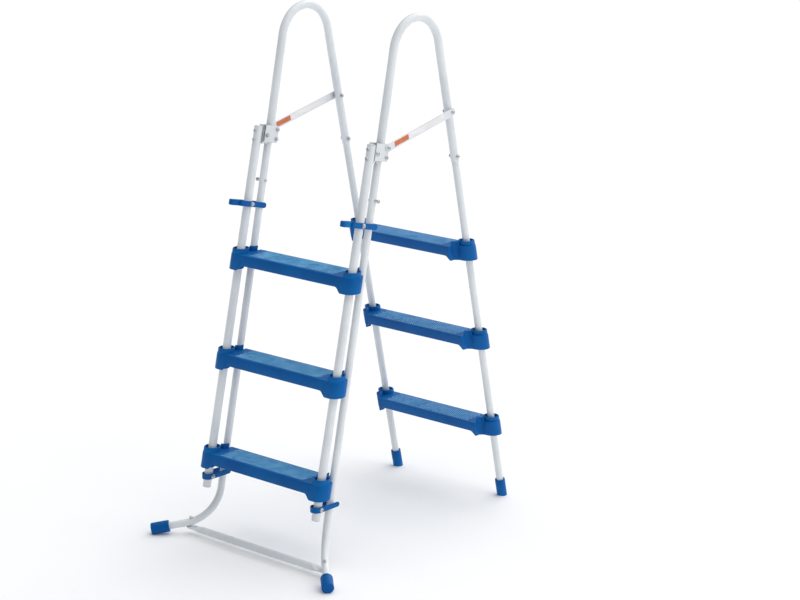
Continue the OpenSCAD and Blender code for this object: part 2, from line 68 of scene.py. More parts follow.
LEG_SETBACK, FOOT_SPAN = 61.9, 850.2
INNER_Y0 = LEG_SETBACK + FOOT_SPAN
RAIL_OUTER_Z, RAIL_INNER_Z, PLUG_IN = 1178, 1122, 60
STEP_TUBE_X, STEP_TILT = 225, math.radians(13.1)
STEP_TUBE_LOW_Z, STEP_TUBE_TOP_Z = 160, 1225
TREAD_Z = {"upper": 856, "middle": 561, "lower": 266}
FOOT_SPLAY, FOOT_DROOP = math.radians(46.6), math.radians(10)
FOOT_BEND_R, FOOT_LEN, FOOT_CAP_R, FOOT_CAP_LEN, FOOT_CAP_FLAT = 131, 109, 18.25, 56, 2.5
INNER_CAP_R, INNER_CAP_LEN = 16, 58
UPPER_LATCH_Z, LOWER_LATCH_Z = 1000, 192
LATCH_IN_X, LATCH_OUT_X, LATCH_T, LATCH_H = 208.6, 237.9, 3, 17
BRACKET_LOW, BRACKET_HIGH, BRACKET_BACK, HOOK_BOLT_Z = 1174, 1224, 25, 1199
CLAMP_V, CLAMP_LOW_Z, CLAMP_HIGH_Z = 18, 1186, 1214
SHEET, BRACKET_HALF = 2, 12.7
BRACKET_OUT = BRACKET_HALF + SHEET + 0.05
HOOK_FIX_Z = (1186, 1212)
STRAP_W, STRAP_T, STRAP_X = 23, 3, 234.8
STRAP_OUTER_Z, STRAP_INNER_Z = CLAMP_HIGH_Z - CLAMP_V * math.sin(LEG_TILT), 1276
LABEL_LOW, LABEL_HIGH, LABEL_T = -6.5, 9, 0.5
# Where the orange block and the pale film start and end, as shares of the strap's length
ORANGE_SPAN, FILM_SPAN = (0.092, 0.305), (0.308, 0.858)
JOINT_BOLT_Z, STOP_BOLT_Z, STOP_REACH = 1137, 1062, 15
BAR_R, BAR_FLAT_T, BAR_FLAT_R, BAR_FLAT_RUN, BAR_TAPER, BAR_BOLT_REACH = 11, 4, 15, 18, 34, 80
BAR_HEAD_GAP = 3.6
BAR_DROP = LEG_R / math.cos(FOOT_DROOP) + BAR_FLAT_R * math.tan(FOOT_DROOP) + 0.1
BOLT_R, HEAD_R, HEAD_H, NUT_R, NUT_H, WASHER_R, WASHER_H = 3, 6, 3.4, 5.8, 4.6, 7, 1.2

SIDES = {"left": -1, "right": 1}
# Segments round a tube, and the angles in degrees past which an edge is sharp
ROUND, SHARP, STEP_SHARP, BOLT_SHARP = 48, 38, 32, 30
TURN = 2 * math.pi

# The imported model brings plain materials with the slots' names, so the scene's own end in this
LOOK = "_look"

# The step tube's lower front edge gives the shift from design to row frame
TUBE_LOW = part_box("step_tube_right")[0]
ORIGIN_Y = STEP_TUBE_LOW_Z * math.tan(STEP_TILT) - RAIL_R * math.cos(STEP_TILT) - TUBE_LOW.y * 1000


# ---- places ----

def to_row():
    """Design millimetres to row-frame metres."""
    return Matrix.Scale(0.001, 4) @ Matrix.Translation((0, -ORIGIN_Y, 0))


def at(x, y, z):
    return to_row() @ Matrix.Translation((x, y, z))


def on_step_tube(z):
    return at(STEP_TUBE_X, z * math.tan(STEP_TILT), z) @ Matrix.Rotation(-STEP_TILT, 4, "X")


def on_outer_leg(z):
    return at(LEG_X, LEG_SETBACK + z * math.tan(LEG_TILT), z) @ Matrix.Rotation(-LEG_TILT, 4, "X")


def on_inner_leg(z):
    return at(LEG_X, INNER_Y0 - z * math.tan(LEG_TILT), z) @ Matrix.Rotation(LEG_TILT, 4, "X")


def along(place, direction):
    """The same place with local Z turned to a direction given in its own axes."""
    return place @ Vector(direction).to_track_quat("Z", "Y").to_matrix().to_4x4()


def level_step(x, y, z, tilt, back):
    """Plan (u, v) square to the tubes and level height h: walls lean with the tubes, decks are level."""
    lean = Matrix(((1, 0, 0, 0), (0, back / math.cos(tilt), back * math.tan(tilt), 0),
                   (0, 0, 1, 0), (0, 0, 0, 1)))
    return at(x, y, z) @ lean


# ---- curves ----

def rounded(points, radius, steps=4):
    """An open outline whose inner corners are rounded. A point may carry its own radius third."""
    out = [Vector(points[0][:2])]
    for i in range(1, len(points) - 1):
        corner = Vector(points[i][:2])
        r = points[i][2] if len(points[i]) > 2 else radius
        out += corner_arc(Vector(points[i - 1][:2]), corner, Vector(points[i + 1][:2]), r, steps, 0.49)
    out.append(Vector(points[-1][:2]))
    return out


def corner_arc(before, corner, after, radius, steps, share=0.99):
    """Points of the arc that rounds a corner. It takes at most a share of either side's length."""
    to_a, to_b = before - corner, after - corner
    da, db = to_a.normalized(), to_b.normalized()
    half = da.angle(db) / 2
    if radius <= 0 or half > math.pi / 2 - 0.01:
        return [corner]
    cut = min(radius / math.tan(half), share * to_a.length, share * to_b.length)
    radius = cut * math.tan(half)
    centre = corner + (da + db).normalized() * (radius / math.sin(half))
    ra, rb = corner + da * cut - centre, corner + db * cut - centre
    sweep = ra.angle(rb)
    turns = [k / steps for k in range(steps + 1)]
    return [centre + (ra * math.sin((1 - t) * sweep) + rb * math.sin(t * sweep)) / math.sin(sweep)
            for t in turns]


def arc(cx, cy, radius, start, end, steps):
    """Points on a circle from one angle to another, in degrees."""
    angles = [math.radians(start + (end - start) * k / steps) for k in range(steps + 1)]
    return [Vector((cx + radius * math.cos(a), cy + radius * math.sin(a))) for a in angles]


def normals_of(points, closed):
    """Unit normals to the right of a path's direction, with the factor that keeps an offset parallel."""
    n = len(points)
    out = []
    for i in range(n):
        before = points[(i - 1) % n] if closed or i > 0 else points[i]
        after = points[(i + 1) % n] if closed or i < n - 1 else points[i]
        da, db = points[i] - before, after - points[i]
        da = da.normalized() if da.length > 0 else db.normalized()
        db = db.normalized() if db.length > 0 else da
        mid = (da + db).normalized()
        grow = 1 / max(0.5, mid.dot(da))
        out.append(Vector((mid.y, -mid.x)) * grow)
    return out


# ---- mesh work ----

def vert(bm, place, x, y, z):
    return bm.verts.new(place @ Vector((x, y, z)))


def bridge(bm, ring_a, ring_b, closed=True):
    """Quads between two rings of the same length; a ring of one vertex makes a fan."""
    n = max(len(ring_a), len(ring_b))
    for k in range(n if closed else n - 1):
        j = (k + 1) % n
        a = [ring_a[k % len(ring_a)], ring_a[j % len(ring_a)]]
        b = [ring_b[j % len(ring_b)], ring_b[k % len(ring_b)]]
        corners = []
        for v in a + b:
            if v not in corners:
                corners.append(v)
        bm.faces.new(corners)


def lathe(bm, place, profile, closed=False, segments=ROUND):
    """Turns a profile of (radius, height) round local Z. A radius may be a function of the angle."""
    rings = []
    for radius, height in profile:
        if radius == 0:
            rings.append([vert(bm, place, 0, 0, height)])
            continue
        ring = []
        for k in range(segments):
            a = TURN * k / segments
            r = radius(a) if callable(radius) else radius
            ring.append(vert(bm, place, r * math.cos(a), r * math.sin(a), height))
        rings.append(ring)
    for a, b in zip(rings, rings[1:] + rings[:1] if closed else rings[1:]):
        bridge(bm, a, b)


def path_frames(path):
    """Origin, tangent and two normals at each point of a path, turning as little as possible."""
    frames = []
    side = None
    for i, p in enumerate(path):
        ahead = path[min(i + 1, len(path) - 1)] - p
        behind = p - path[max(i - 1, 0)]
        t = (ahead.normalized() + behind.normalized()).normalized()
        side = t.orthogonal().normalized() if side is None else (side - t * side.dot(t)).normalized()
        frames.append((p, t, side, t.cross(side)))
    return frames


def tube(bm, path, outer, wall=TUBE_WALL, place=None):
    """A tube with a wall and rounded rims along a path in design millimetres."""
    place = place or to_row()
    frames = path_frames([Vector(p) for p in path])
    start, end, between = frames[0], frames[-1], frames[1:-1]
    lip, inner = 0.35 * wall, outer - wall
    rim = ((0, lip), (0.3 * lip, 0.3 * lip), (lip, 0))
    rings = [(start, z, outer - cut) for z, cut in rim]
    rings += [(f, 0, outer) for f in between]
    rings += [(end, -z, outer - cut) for z, cut in reversed(rim)]
    rings += [(end, -z, inner + cut) for z, cut in rim]
    rings += [(f, 0, inner) for f in reversed(between)]
    rings += [(start, z, inner + cut) for z, cut in reversed(rim)]
    made = []
    for (p, t, n, b), shift, r in rings:
        angles = [TURN * k / ROUND for k in range(ROUND)]
        points = [p + t * shift + (n * math.cos(a) + b * math.sin(a)) * r for a in angles]
        made.append([bm.verts.new(place @ q) for q in points])
    for a, b in zip(made, made[1:] + made[:1]):
        bridge(bm, a, b)


def fill(bm, rings):
    """A flat face between closed rings: the first is the outline and the others are holes."""
    edges = []
    for ring in rings:
        for a, b in zip(ring, ring[1:] + ring[:1]):
            edges.append(bm.edges.get((a, b)) or bm.edges.new((a, b)))
    bmesh.ops.triangle_fill(bm, edges=edges, use_beauty=True)


def plate(bm, place, outline, low, high, edge):
    """A convex plan extruded from low to high, with rounded edges. The outline runs anticlockwise."""
    outward = normals_of(outline, True)
    turns = [math.radians(22.5 * k) for k in range(5)]
    levels = [(edge * (1 - math.sin(a)), low + edge * (1 - math.cos(a))) for a in turns]
    levels += [(edge * (1 - math.cos(a)), high - edge * (1 - math.sin(a))) for a in turns]
    rings = []
    for inset, z in levels:
        ring = [p - n * inset for p, n in zip(outline, outward)]
        rings.append([vert(bm, place, q.x, q.y, z) for q in ring])
    for a, b in zip(rings, rings[1:]):
        bridge(bm, a, b)
    fill(bm, rings[:1])
    fill(bm, rings[-1:])


def band(bm, place, path, thickness, half_height, edge):
    """A strip of sheet that stands on a plan path, half_height(point) above and below it, edges rounded."""
    outward = normals_of(path, False)
    turns = [math.radians(30 * k) for k in range(4)]
    rings = []
    for p, n in zip(path, outward):
        h = half_height(p)
        e = min(edge, 0.45 * h)
        corners = []
        for out, up in ((1, 1), (-1, 1), (-1, -1), (1, -1)):
            for a in turns:
                a = a if out * up > 0 else math.pi / 2 - a
                corners.append((out * (thickness / 2 - e + e * math.cos(a)), up * (h - e + e * math.sin(a))))
        ring = [(p.x + n.x * o, p.y + n.y * o, z) for o, z in corners]
        rings.append([vert(bm, place, *q) for q in ring])
    for a, b in zip(rings, rings[1:]):
        bridge(bm, a, b)
    bm.faces.new(rings[0])
    bm.faces.new(rings[-1])


def box_pad(bm, place, centre, along_u, along_v, base, top, draft):
    """A low pad with sloping sides: two half-length vectors in plan, and two heights."""
    corners = [(1, 1), (-1, 1), (-1, -1), (1, -1)]
    rings = []
    for h, share in ((base, 1), (top, draft)):
        points = [centre + (along_u * i + along_v * j) * share for i, j in corners]
        rings.append([vert(bm, place, q.x, q.y, h) for q in points])
    bridge(bm, rings[0], rings[1])
    bm.faces.new(rings[0])
    bm.faces.new(rings[1])


def mirrored(bm):
    """Turns what was built for the right side into the left one."""
    for v in bm.verts:
        v.co.x = -v.co.x


def both_sides(bm):
    """Adds the left copy of what was built for the right side."""
    copy = bmesh.ops.duplicate(bm, geom=bm.verts[:] + bm.edges[:] + bm.faces[:])
    for v in copy["geom"]:
        if isinstance(v, bmesh.types.BMVert):
            v.co.x = -v.co.x


def new_object(bm, name, material, sharp=SHARP):
    """The mesh as an object in the scene, smooth up to an angle in degrees."""
    bmesh.ops.recalc_face_normals(bm, faces=bm.faces[:])
    mesh = bpy.data.meshes.new(name)
    bm.to_mesh(mesh)
    bm.free()
    mesh.shade_smooth()
    mesh.set_sharp_from_angle(angle=math.radians(sharp))
    mesh.materials.append(bpy.data.materials[material + LOOK])
    obj = bpy.data.objects.new(name, mesh)
    bpy.context.scene.collection.objects.link(obj)
    return obj


def piece(bm, node, body, material, sharp=SHARP):
    """A mesh that stands for a CAD node and rides on its body."""
    obj = new_object(bm, node + "_fine", material, sharp)
    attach(obj, body)
    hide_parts(node)
    return obj


def loose_piece(bm, name, beside, material):
    """A mesh with no CAD node of its own: it rides with the piece beside it."""
    obj = new_object(bm, name, material)
    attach(obj, beside["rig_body"])


def finish_side(bm, side, node, body, material):
    """The piece on one side, from a mesh built for the right one."""
    if side < 0:
        mirrored(bm)
    return piece(bm, node, body, material)


# ---- materials ----

def shader(name, **values):
    """A new material with its Principled shader's plain values set, and the shader node."""
    material = bpy.data.materials.new(name + LOOK)
    material.use_nodes = True
    surface = material.node_tree.nodes["Principled BSDF"]
    for key, value in values.items():
        surface.inputs[key.replace("_", " ")].default_value = value
    return material.node_tree, surface


def noise(tree, scale, detail=3.0, roughness=0.55, stretch=(1, 1, 1)):
    """Noise in the piece's own coordinates; scale is in waves per metre."""
    place = tree.nodes.new("ShaderNodeTexCoord")
    size = tree.nodes.new("ShaderNodeMapping")
    size.inputs["Scale"].default_value = stretch
    pattern = tree.nodes.new("ShaderNodeTexNoise")
    pattern.inputs["Scale"].default_value = scale
    pattern.inputs["Detail"].default_value = detail
    pattern.inputs["Roughness"].default_value = roughness
    tree.links.new(place.outputs["Object"], size.inputs["Vector"])
    tree.links.new(size.outputs["Vector"], pattern.inputs["Vector"])
    return pattern.outputs["Fac"]


def ramp(tree, source, stops):
    """A colour ramp over (position, grey or colour) stops."""
    node = tree.nodes.new("ShaderNodeValToRGB")
    node.color_ramp.interpolation = "EASE"
    for i, (position, value) in enumerate(stops):
        element = node.color_ramp.elements[i] if i < 2 else node.color_ramp.elements.new(position)
        element.position = position
        element.color = (value, value, value, 1) if isinstance(value, float) else (*value, 1)
    tree.links.new(source, node.inputs["Fac"])
    return node.outputs["Color"]


def mix(tree, how, share, a, b):
    """Mixes two colours; share, a and b are sockets or values."""
    node = tree.nodes.new("ShaderNodeMix")
    node.data_type, node.blend_type = "RGBA", how
    for socket, value in ((node.inputs[0], share), (node.inputs[6], a), (node.inputs[7], b)):
        if isinstance(value, bpy.types.NodeSocket):
            tree.links.new(value, socket)
        else:
            socket.default_value = value if isinstance(value, float) else (*value, 1)
    return node.outputs[2]


def roughness(tree, surface, scale, detail, low, high):
    """A roughness that wanders between two values."""
    gloss = ramp(tree, noise(tree, scale, detail), ((0.3, low), (0.7, high)))
    tree.links.new(gloss, surface.inputs["Roughness"])


def bump(tree, surface, height, strength, distance):
    """Relief from a grey pattern; distance is its depth in metres."""
    node = tree.nodes.new("ShaderNodeBump")
    node.inputs["Strength"].default_value = strength
    node.inputs["Distance"].default_value = distance
    tree.links.new(height, node.inputs["Height"])
    tree.links.new(node.outputs["Normal"], surface.inputs["Normal"])


def edges(tree, low, high):
    """White on worn convex edges, black elsewhere."""
    shape = tree.nodes.new("ShaderNodeNewGeometry")
    return ramp(tree, shape.outputs["Pointiness"], ((low, 0.0), (high, 1.0)))


def white_paint():
    """Powder coat: faint orange peel, dust and rub marks, a little gloss."""
    tree, surface = shader("white_paint", Coat_Weight=0.3, Coat_Roughness=0.12)
    cloudy = ramp(tree, noise(tree, 7), ((0.35, (0.70, 0.73, 0.755)), (0.65, (0.77, 0.795, 0.815))))
    rubs = ramp(tree, noise(tree, 55, 6, 0.7, (1, 1, 0.2)), ((0.62, 0.0), (0.75, 0.5)))
    colour = mix(tree, "MIX", rubs, cloudy, (0.62, 0.645, 0.67))
    tree.links.new(colour, surface.inputs["Base Color"])
    roughness(tree, surface, 40, 5, 0.27, 0.4)
    bump(tree, surface, noise(tree, 520, 2), 0.12, 0.0004)


def blue_plastic():
    """Moulded polypropylene: satin grain, slightly cloudy, paler where edges are rubbed."""
    tree, surface = shader("blue_plastic", Specular_IOR_Level=0.12)
    body = ramp(tree, noise(tree, 9, 4), ((0.3, (0.0004, 0.088, 0.32)), (0.7, (0.0010, 0.114, 0.38))))
    scuffs = ramp(tree, noise(tree, 70, 8, 0.75, (0.35, 1, 1)), ((0.60, 0.0), (0.78, 0.35)))
    colour = mix(tree, "MIX", scuffs, body, (0.004, 0.16, 0.46))
    colour = mix(tree, "MIX", edges(tree, 0.52, 0.62), colour, (0.006, 0.19, 0.49))
    tree.links.new(colour, surface.inputs["Base Color"])
    roughness(tree, surface, 60, 5, 0.33, 0.47)
    bump(tree, surface, noise(tree, 1400, 3, 0.6), 0.25, 0.0003)


def sheen_painted_plastic():
    """The tread pads' tops: the same plastic, paler as painted sheen of light glancing off the treads, and
    shinier.
    """
    tree, surface = shader("sheen_painted_plastic", Specular_IOR_Level=0.6)
    # Painted sheen: these pale blues stand in for light reflected off the tread tops, not for the plastic's
    # own colour.
    tops = ramp(tree, noise(tree, 26, 5, 0.65), ((0.3, (0.06, 0.36, 0.66)), (0.7, (0.22, 0.60, 0.88))))
    tree.links.new(tops, surface.inputs["Base Color"])
    roughness(tree, surface, 60, 5, 0.24, 0.38)
    bump(tree, surface, noise(tree, 1400, 3, 0.6), 0.2, 0.0002)


def grey_plastic():
    """Unpainted end plugs: pale, matt and a little waxy."""
    tree, surface = shader("grey_plastic", Subsurface_Weight=0.05, Subsurface_Scale=0.002)
    body = ramp(tree, noise(tree, 45, 5), ((0.3, (0.60, 0.61, 0.61)), (0.7, (0.70, 0.71, 0.705))))
    tree.links.new(body, surface.inputs["Base Color"])
    roughness(tree, surface, 90, 4, 0.42, 0.58)
    bump(tree, surface, noise(tree, 1600, 2), 0.15, 0.0002)


def zinc():
    """Bright zinc plate with spangle, dulled in patches."""
    tree, surface = shader("zinc", Metallic=1.0)
    spangle = ramp(tree, noise(tree, 260, 5), ((0.3, (0.42, 0.43, 0.45)), (0.7, (0.70, 0.71, 0.72))))
    colour = mix(tree, "MIX", edges(tree, 0.53, 0.66), spangle, (0.82, 0.83, 0.84))
    tree.links.new(colour, surface.inputs["Base Color"])
    roughness(tree, surface, 180, 5, 0.24, 0.46)
    bump(tree, surface, noise(tree, 900, 3), 0.2, 0.0002)


def orange_label():
    """A printed film with no lettering: plain orange, slightly faded in patches."""
    tree, surface = shader("orange_label", Coat_Weight=0.4, Coat_Roughness=0.2)
    ink = ramp(tree, noise(tree, 60, 6, 0.65), ((0.3, (0.56, 0.115, 0.022)), (0.7, (0.65, 0.175, 0.045))))
    tree.links.new(ink, surface.inputs["Base Color"])
    roughness(tree, surface, 80, 4, 0.3, 0.45)
    bump(tree, surface, noise(tree, 300, 3), 0.1, 0.0002)


def pale_film():
    """The label's pale part: off-white film with faint bands of warm tint."""
    tree, surface = shader("pale_film", Coat_Weight=0.4, Coat_Roughness=0.2)
    bands = noise(tree, 110, 4, 0.6, (1, 0.12, 1))
    film = ramp(tree, bands, ((0.35, (0.80, 0.74, 0.74)), (0.65, (0.86, 0.86, 0.87))))
    tree.links.new(film, surface.inputs["Base Color"])
    roughness(tree, surface, 90, 4, 0.3, 0.45)
    bump(tree, surface, noise(tree, 300, 3), 0.08, 0.0002)


def floor_material():
    """Plain pale floor, very slightly cloudy."""
    tree, surface = shader("studio_floor", Specular_IOR_Level=0.15)
    tone = ramp(tree, noise(tree, 1.5, 3), ((0.3, (0.93, 0.935, 0.94)), (0.7, (0.95, 0.952, 0.955))))
    tree.links.new(tone, surface.inputs["Base Color"])
    roughness(tree, surface, 4, 3, 0.7, 0.85)


# ---- studio ----

# The camera's place, its dip and turn in degrees, and its lens. The floor's half width, in metres
CAMERA_AT, CAMERA_DIP, CAMERA_TURN, CAMERA_LENS = (4.4314, -4.8582, 2.4425), 14.832, 40.98, 101.3
FLOOR_REACH = 45


def camera():
    lens = bpy.data.cameras.new("photo_camera")
    lens.lens, lens.sensor_width = CAMERA_LENS, 36
    lens.clip_start, lens.clip_end = 0.1, 200
    cam = bpy.data.objects.new("photo_camera", lens)
    cam.location = CAMERA_AT
    cam.rotation_euler = (math.radians(90 - CAMERA_DIP), 0, math.radians(CAMERA_TURN))
    bpy.context.scene.collection.objects.link(cam)
    bpy.context.scene.camera = cam


def floor():
    bm = bmesh.new()
    corners = ((-1, -1), (1, -1), (1, 1), (-1, 1))
    bm.faces.new([bm.verts.new((FLOOR_REACH * x, FLOOR_REACH * y, 0)) for x, y in corners])
    mesh = bpy.data.meshes.new("floor")
    bm.to_mesh(mesh)
    bm.free()
    obj = bpy.data.objects.new("floor", mesh)
    mesh.materials.append(bpy.data.materials["studio_floor" + LOOK])
    bpy.context.scene.collection.objects.link(obj)


def soft_sun(name, direction, strength, spread):
    """A wide soft light that falls evenly, from a direction given as the way it travels."""
    lamp = bpy.data.lights.new(name, "SUN")
    lamp.energy, lamp.angle = strength, math.radians(spread)
    obj = bpy.data.objects.new(name, lamp)
    obj.rotation_euler = Vector(direction).to_track_quat("-Z", "Y").to_euler()
    bpy.context.scene.collection.objects.link(obj)


def studio():
    world = bpy.data.worlds.new("studio")
    world.use_nodes = True
    sky = world.node_tree.nodes["Background"]
    sky.inputs["Color"].default_value = (0.94, 0.97, 1, 1)
    sky.inputs["Strength"].default_value = 0.36
    bpy.context.scene.world = world
    soft_sun("top_soft", (-0.12, -0.35, -1), 2.0, 85)
    soft_sun("right_soft", (-1, -0.1, -0.35), 0.7, 60)
    soft_sun("back_soft", (0.1, -1, -0.32), 0.8, 60)
    bpy.context.scene.view_settings.view_transform = "Standard"


# ---- tubes ----

def handrails():
    """Inverted U tubes over the wall."""
    rise = math.tan(LEG_TILT)
    peak = LEG_SETBACK + FOOT_SPAN / 2
    top = FOOT_SPAN / 2 / rise
    corners = [Vector((LEG_SETBACK + RAIL_OUTER_Z * rise, RAIL_OUTER_Z)), Vector((peak, top)),
               Vector((INNER_Y0 - RAIL_INNER_Z * rise, RAIL_INNER_Z))]
    bend = corner_arc(*corners, RAIL_BEND_R, 56)
    path = [(LEG_X, q.x, q.y) for q in [corners[0], *bend, corners[2]]]
    for name, side in SIDES.items():
        bm = bmesh.new()
        tube(bm, path, RAIL_R)
        finish_side(bm, side, "handrail_" + name, "fixed_frame", "white_paint")


def foot_direction():
    """Direction of the right foot: out, forward and a little down."""
    level = math.cos(FOOT_DROOP)
    return Vector((math.sin(FOOT_SPLAY) * level, -math.cos(FOOT_SPLAY) * level, -math.sin(FOOT_DROOP)))


def leg_corner():
    """Where the axes of the outer leg and its foot meet, and how far the bend reaches from there."""
    foot = foot_direction()
    down = Vector((0, -math.sin(LEG_TILT), -math.cos(LEG_TILT)))
    reach = FOOT_BEND_R * math.tan(down.angle(foot) / 2)
    z = FOOT_CAP_R * math.cos(FOOT_DROOP) - FOOT_CAP_FLAT + (reach + FOOT_LEN) * math.sin(FOOT_DROOP)
    return Vector((LEG_X, LEG_SETBACK + z * math.tan(LEG_TILT), z)), reach


def outer_legs():
    """Thinner tubes that plug into the handrails and bend out into feet."""
    corner, reach = leg_corner()
    foot = foot_direction()
    z = RAIL_OUTER_Z + PLUG_IN * math.cos(LEG_TILT)
    top = Vector((LEG_X, LEG_SETBACK + z * math.tan(LEG_TILT), z))
    tip = corner + foot * (reach + FOOT_LEN - 4)
    path = [top, *corner_arc(top, corner, tip, FOOT_BEND_R, 40), tip]
    for name, side in SIDES.items():
        bm = bmesh.new()
        tube(bm, path, LEG_R)
        finish_side(bm, side, "outer_leg_" + name, "fixed_frame", "white_paint")
        bm = bmesh.new()
        mouth = at(*(corner + foot * (reach + FOOT_LEN - FOOT_CAP_LEN)))
        foot_cap(bm, along(mouth, foot), FOOT_CAP_R, FOOT_CAP_LEN, LEG_R + 0.1, FOOT_CAP_LEN - 4)
        finish_side(bm, side, "outer_foot_cap_" + name, "fixed_frame", "blue_plastic")


def foot_cap(bm, place, radius, length, bore, depth):
    """A blunt rubbery cap: open mouth with a bead at z = 0, closed end, cut flat where it stands."""
    outline = [(bore, depth), (bore, 0.0, 1.2), (radius - 0.4, 0.0, 1.6), (radius, 5.0), (radius, 7.0, 0.6),
               (radius - 0.7, 7.8, 0.6), (radius - 0.7, 9.2, 0.6), (radius, 10.0, 0.6),
               (radius, length, 4.2), (0, length)]
    lathe(bm, place, [(0, depth), *rounded(outline, 0.6, 5)])
    for v in bm.verts:
        v.co.z = max(v.co.z, 0)


def inner_legs():
    """Straight tubes down to the pool floor, with caps."""
    rise = math.tan(LEG_TILT)

    def point(z):
        return Vector((LEG_X, INNER_Y0 - z * rise, z))

    path = [point(8 * math.cos(LEG_TILT)), point(RAIL_INNER_Z + PLUG_IN * math.cos(LEG_TILT))]
    up = (path[1] - path[0]).normalized()
    for name, side in SIDES.items():
        bm = bmesh.new()
        tube(bm, path, LEG_R)
        finish_side(bm, side, "inner_leg_" + name, "fixed_frame", "white_paint")
        bm = bmesh.new()
        mouth = at(*(point(0) + up * INNER_CAP_LEN))
        foot_cap(bm, along(mouth, -up), INNER_CAP_R, INNER_CAP_LEN + 5, LEG_R + 0.1, INNER_CAP_LEN - 8)
        finish_side(bm, side, "inner_foot_cap_" + name, "fixed_frame", "blue_plastic")


def step_tubes():
    """The step section's straight tubes and their end plugs."""
    def point(z):
        return Vector((STEP_TUBE_X, z * math.tan(STEP_TILT), z))

    for name, side in SIDES.items():
        bm = bmesh.new()
        tube(bm, [point(STEP_TUBE_LOW_Z), point(STEP_TUBE_TOP_Z)], RAIL_R)
        finish_side(bm, side, "step_tube_" + name, "step_section", "white_paint")
        tube_plug(side, "tube_top_plug_" + name, on_step_tube(STEP_TUBE_TOP_Z), 9, 4)
        low = on_step_tube(STEP_TUBE_LOW_Z) @ Matrix.Rotation(math.pi, 4, "X")
        tube_plug(side, "tube_bottom_plug_" + name, low, 20, 4)


def tube_plug(side, node, place, depth, dome):
    """A plug with a flange on the tube's rim, a low dome and a plain shank in the bore."""
    bm = bmesh.new()
    inside = RAIL_R - TUBE_WALL - 0.1
    outline = [(0, -depth), (inside - 1.0, -depth), (inside, -depth + 2), (inside, 0), (RAIL_R, 0.05, 0.3),
               (RAIL_R, 1.5, 0.6), (RAIL_R - 1.2, 2.4, 1), (RAIL_R - 5, dome, 3), (0, dome)]
    lathe(bm, place, rounded(outline, 0.3, 4))
    finish_side(bm, side, node, "step_section", "grey_plastic")


def base_bar():
    """A round bar whose ends are pressed flat, rounded at the tip, and bolted under the feet."""
    corner, _ = leg_corner()
    bolt = corner + foot_direction() * BAR_BOLT_REACH
    z = bolt.z - BAR_DROP - BAR_FLAT_T / 2
    tip, flat = bolt.x + BAR_FLAT_R, bolt.x - BAR_FLAT_RUN
    stations = [flat - BAR_TAPER + BAR_TAPER * k / 12 for k in range(13)]
    stations += [flat + 6, flat + 12, bolt.x]
    stations += [bolt.x + BAR_FLAT_R * math.sin(math.radians(a)) for a in range(15, 90, 15)]
    stations += [tip - 0.1]
    rings = []
    bm = bmesh.new()
    place = at(0, bolt.y, 0)
    for x in [-s for s in reversed(stations)] + stations:
        d = abs(x)
        share = min(1, max(0, (d - flat + BAR_TAPER) / BAR_TAPER))
        share = share * share * (3 - 2 * share)
        half_w = BAR_R + (BAR_FLAT_R - BAR_R) * share
        if d > bolt.x:
            half_w = math.sqrt(max(0.2, BAR_FLAT_R ** 2 - (d - bolt.x) ** 2))
        half_h = BAR_R + (BAR_FLAT_T / 2 - BAR_R) * share
        if tip - d < 0.5:
            half_h *= 0.75
        power = 2 / (2 + 3.5 * share)
        ring = []
        for k in range(ROUND):
            c, s = math.cos(TURN * k / ROUND), math.sin(TURN * k / ROUND)
            ring.append(vert(bm, place, x, half_w * math.copysign(abs(c) ** power, c),
                             z + half_h * math.copysign(abs(s) ** power, s)))
        rings.append(ring)
    for a, b in zip(rings, rings[1:]):
        bridge(bm, a, b)
    bm.faces.new(rings[0])
    bm.faces.new(rings[-1])
    piece(bm, "base_bar", "fixed_frame", "white_paint")


# ---- steps ----

TREAD_FRONT, TREAD_BACK = -25.3, 65.28
STEP_WALL, DECK_WALL, COLLAR_H, COLLAR_R, CUP_R = 3, 3.5, 14, 25, 21
END_DROP, APRON_DROP, BOSS_R = 47, 31, 17
NOTCH_IN, NOTCH_V, NOTCH_R = 18, 34, 14
PAD_PITCH, PAD_GAP, PAD_FIELD = 7.5, 9.0, 168


def step_outline(half):
    """Plan of a step, anticlockwise from the front middle."""
    deck = half - NOTCH_IN
    end_r = (NOTCH_V - TREAD_FRONT) / 2
    front = [Vector((x, TREAD_FRONT)) for x in edge_stations(half, half)]
    lobe = arc(half, TREAD_FRONT + end_r, end_r, -90, 90, 28)
    notch = arc(deck + NOTCH_R, NOTCH_V + NOTCH_R, NOTCH_R, 270, 180, 12)
    corner = arc(deck - 4, TREAD_BACK - 4, 4, 0, 90, 6)
    back = [Vector((x, TREAD_BACK)) for x in reversed(edge_stations(half, deck - 4)[:-1])]
    right = front[:-1] + lobe + notch + corner + back
    left = [Vector((-q.x, q.y)) for q in reversed(right[1:-1])]
    return right + left


def edge_stations(half, end):
    """Places along an apron's right half, close together where its lower edge drops to the end lobe."""
    run = half - 39
    coarse = [run * k / 16 for k in range(16)]
    fine = [run + 24 * k / 16 for k in range(17)]
    return [x for x in coarse + fine if x < end - 0.5] + [end]


def apron_bottom(x, half):
    """Height of the apron's lower edge under the deck: an S curve down to the lobes."""
    t = min(1, max(0, (abs(x) - (half - 39)) / 24))
    share = t ** 1.25
    share = share * share * (3 - 2 * share)
    return -APRON_DROP - (END_DROP - APRON_DROP) * share


